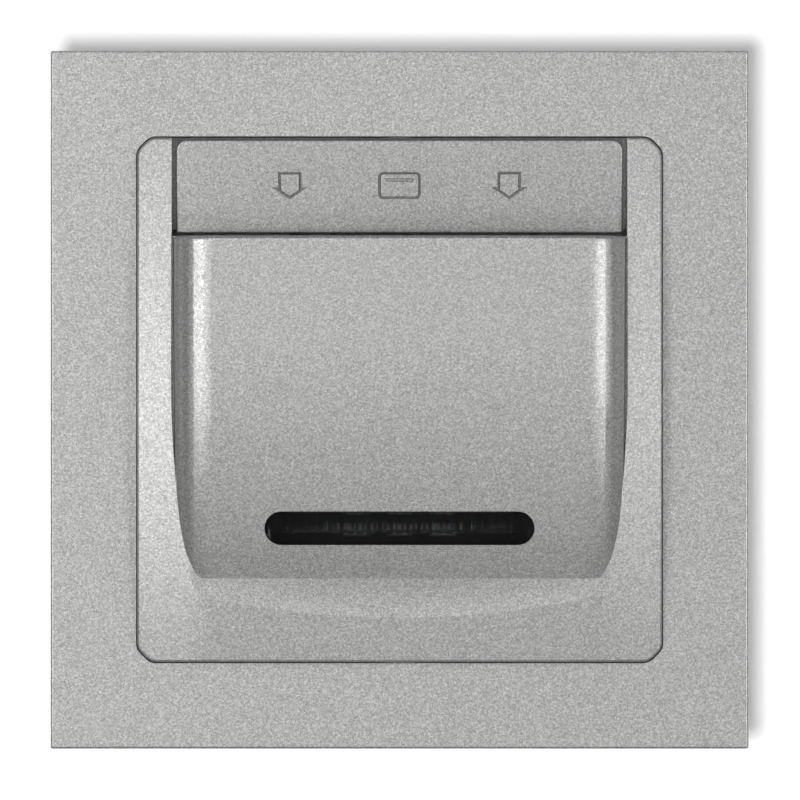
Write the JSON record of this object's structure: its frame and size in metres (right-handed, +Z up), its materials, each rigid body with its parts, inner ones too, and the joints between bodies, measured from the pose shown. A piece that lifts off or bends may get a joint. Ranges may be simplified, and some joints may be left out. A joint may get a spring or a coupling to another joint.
{
  "type": "hotel key card switch",
  "caption": "Square flush wall switch with a bulging card pocket, header plate, smoked locator window, inner card lever, snap switch and spreading claws.",
  "frame": {"origin": "middle of the wall plane, half way between the two wall box screws; the cover frame is centred on it", "axes": "+X to the right, +Z up, +Y into the wall; the card pocket faces -Y"},
  "size_m": [0.085, 0.0381, 0.085],
  "materials": {
    "silver_paint": "silver metallic paint on moulded plastic, satin, with a fine sparkle",
    "silver_paint_header": "silver metallic paint, satin, a shade darker where it faces down",
    "smoked_lens": "smoked transparent plastic, polished",
    "clear_plastic": "clear moulded plastic with fine ribs",
    "led_resin": "milky light-emitting resin block",
    "black_plastic": "black moulded plastic, fine spark texture",
    "grey_plastic": "grey thermoset moulding, dull",
    "white_plastic": "natural white low-friction plastic",
    "red_plastic": "red moulded push button",
    "zinc_steel": "bright zinc-plated steel",
    "spring_steel": "drawn spring wire",
    "copper_alloy": "bare copper alloy strip with silver contact faces",
    "brass": "machined brass",
    "board_green": "green solder-masked circuit board",
    "resistor_body": "lacquered resistor body"
  },
  "bodies": {
    "root": {"outer_frame": "silver_paint", "card_pocket_cover": "silver_paint", "header_plate": "silver_paint_header", "window_lens": "smoked_lens", "light_guide": "clear_plastic", "indicator_leds": "led_resin", "card_guide": "black_plastic", "support_plate": "zinc_steel", "mechanism_body": "grey_plastic", "mechanism_lid": "grey_plastic", "lever_pin": "zinc_steel", "lever_spring": "spring_steel", "switch_case": "black_plastic", "switch_case_cover": "black_plastic", "fixed_contacts": "copper_alloy", "circuit_board": "board_green", "board_parts": "resistor_body", "bus_bars": "copper_alloy", "terminal_clamps": "brass", "terminal_screws": "zinc_steel", "body_screws": "zinc_steel", "lid_screws": "zinc_steel", "claw_pins": "zinc_steel"},
    "lever": {"card_lever": "white_plastic"},
    "plunger": {"switch_plunger": "red_plastic"},
    "blade": {"contact_arm": "copper_alloy"},
    "claw_left": {"claw_left": "zinc_steel"},
    "claw_right": {"claw_right": "zinc_steel"},
    "screw_left": {"claw_screw_left": "zinc_steel"},
    "screw_right": {"claw_screw_right": "zinc_steel"},
    "nut_left": {"claw_nut_left": "zinc_steel"},
    "nut_right": {"claw_nut_right": "zinc_steel"}
  },
  "joints": [
    {"name": "card_lever_hinge", "type": "hinge", "parent": "root", "child": "lever", "pos_m": [0, -0.0041, 0.008], "axis": [1, 0, 0], "range_deg": [0, 8], "stiffness_Nm_per_rad": 0.005, "springref_deg": -28.65, "deforming": ["lever_spring"]},
    {"name": "plunger_slide", "type": "slide", "parent": "root", "child": "plunger", "axis": [0, 1, 0], "range_m": [0, 0.0016]},
    {"name": "blade_hinge", "type": "hinge", "parent": "root", "child": "blade", "pos_m": [0, 0.00595, -0.0103], "axis": [-1, 0, 0], "range_deg": [0, 12.2]},
    {"name": "claw_screw_left_turn", "type": "hinge", "parent": "root", "child": "screw_left", "pos_m": [-0.0164, 0, 0], "axis": [0, 1, 0], "range_deg": [0, 720]},
    {"name": "claw_screw_right_turn", "type": "hinge", "parent": "root", "child": "screw_right", "pos_m": [0.0164, 0, 0], "axis": [0, 1, 0], "range_deg": [0, 720]},
    {"name": "claw_nut_left_slide", "type": "slide", "parent": "root", "child": "nut_left", "axis": [0, -1, 0], "range_m": [0, 0.00125]},
    {"name": "claw_nut_right_slide", "type": "slide", "parent": "root", "child": "nut_right", "axis": [0, -1, 0], "range_m": [0, 0.00125]},
    {"name": "claw_left_swing", "type": "hinge", "parent": "root", "child": "claw_left", "pos_m": [-0.0202, 0.0158, 0], "axis": [0, 0, -1], "range_deg": [0, 18.5]},
    {"name": "claw_right_swing", "type": "hinge", "parent": "root", "child": "claw_right", "pos_m": [0.0202, 0.0158, 0], "axis": [0, 0, 1], "range_deg": [0, 18.5]}
  ],
  "couplings": [
    {"joint": "plunger_slide", "follows": "card_lever_hinge", "m_per_rad": 0.0112},
    {"joint": "blade_hinge", "follows": "card_lever_hinge", "ratio": 1.5068},
    {"joint": "claw_nut_left_slide", "follows": "claw_screw_left_turn", "m_per_rad": 0.00009549},
    {"joint": "claw_nut_right_slide", "follows": "claw_screw_right_turn", "m_per_rad": 0.00009549},
    {"joint": "claw_left_swing", "follows": "claw_screw_left_turn", "ratio": 0.02513},
    {"joint": "claw_right_swing", "follows": "claw_screw_right_turn", "ratio": 0.02513}
  ]
}
